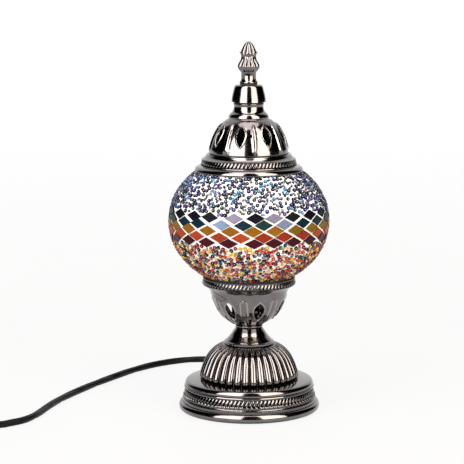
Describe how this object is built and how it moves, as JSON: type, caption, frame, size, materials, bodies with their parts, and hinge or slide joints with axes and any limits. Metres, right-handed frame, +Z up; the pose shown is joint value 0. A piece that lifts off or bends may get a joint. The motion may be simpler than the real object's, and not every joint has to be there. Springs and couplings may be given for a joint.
{
  "type": "mosaic glass table lamp",
  "caption": "Table lamp with a beaded and tiled glass globe held between a pierced metal cup and cap, on a fluted turned base, with a corded plug and switch.",
  "frame": {"origin": "middle of the base's underside, on the surface that the lamp stands on", "axes": "+Z up along the lamp, -Y towards the viewer, +X to the viewer's right"},
  "size_m": [0.3775, 0.2566, 0.3001],
  "materials": {
    "gunmetal": "polished gunmetal plating on spun and cast metal",
    "steel": "zinc plated",
    "cast_iron": "rough cast",
    "brass": "plain turned brass",
    "globe_glass": "blown clear glass",
    "bulb_glass": "clear bulb glass",
    "mosaic": "glass seed beads and cut glass tiles set in white grout",
    "phenolic": "moulded black",
    "vinyl": "black PVC",
    "rubber": "soft black rubber",
    "felt": "pressed wool felt",
    "fibre": "red vulcanised fibre"
  },
  "bodies": {
    "base": {"base_foot": "gunmetal", "base_dome": "gunmetal", "base_felt": "felt", "base_cover": "steel", "base_weight": "cast_iron", "bottom_washer": "steel", "bottom_nut": "brass", "stem_cone": "gunmetal", "neck_ring": "gunmetal", "threaded_tube": "steel", "cup": "gunmetal", "globe_gasket": "rubber", "lampholder": "phenolic", "lampholder_shell": "brass", "lampholder_contact": "brass", "lead_live": "vinyl", "lead_neutral": "vinyl", "harp": "steel", "top_stud": "steel", "stud_nut_lower": "brass", "stud_nut_upper": "brass", "cup_washer": "steel", "holder_nut": "brass", "cord_inner": "vinyl", "cord_sleeve": "rubber", "cord_clamp": "phenolic", "cord_run": "vinyl", "cord_link": "vinyl", "cord_tail": "vinyl", "cord_coil": "vinyl", "coil_tie": "rubber", "switch_base": "phenolic", "switch_cover": "phenolic", "plug_body": "vinyl", "plug_pin_left": "brass", "plug_pin_right": "brass"},
    "globe": {"glass_globe": "globe_glass", "mosaic_skin": "mosaic"},
    "cap": {"cap_rim": "gunmetal", "cap_dome": "gunmetal", "cap_gasket": "rubber", "finial_collar": "gunmetal"},
    "finial_seat": {"finial_washer": "fibre"},
    "finial": {"finial": "gunmetal"},
    "bulb_seat": {"bulb_tip": "phenolic"},
    "bulb": {"bulb_cap": "steel", "bulb_glass": "bulb_glass", "bulb_filament": "brass"},
    "rocker": {"switch_rocker": "phenolic"}
  },
  "joints": [
    {"name": "globe_lift", "type": "slide", "parent": "base", "child": "globe", "axis": [0, 0, 1], "range_m": [0, 0.17]},
    {"name": "cap_lift", "type": "slide", "parent": "globe", "child": "cap", "axis": [0, 0, 1], "range_m": [0, 0.07]},
    {"name": "finial_turn", "type": "hinge", "parent": "cap", "child": "finial_seat", "pos_m": [0, 0, 0.2661], "axis": [0, 0, 1], "range_deg": [0, 4320]},
    {"name": "finial_rise", "type": "slide", "parent": "finial_seat", "child": "finial", "axis": [0, 0, 1], "range_m": [0, 0.0121]},
    {"name": "bulb_rise", "type": "slide", "parent": "base", "child": "bulb_seat", "axis": [0, 0, 1], "range_m": [0, 0.017]},
    {"name": "bulb_turn", "type": "hinge", "parent": "bulb_seat", "child": "bulb", "pos_m": [0, 0, 0.11], "axis": [0, 0, 1], "range_deg": [0, 2160]},
    {"name": "switch_rocker_turn", "type": "hinge", "parent": "base", "child": "rocker", "pos_m": [-0.243, -0.071, 0.0126], "axis": [0, -1, 0], "range_deg": [0, 14]}
  ],
  "couplings": [
    {"joint": "finial_rise", "follows": "finial_turn", "m_per_rad": 0.00015915},
    {"joint": "bulb_rise", "follows": "bulb_turn", "m_per_rad": 0.00044882}
  ]
}
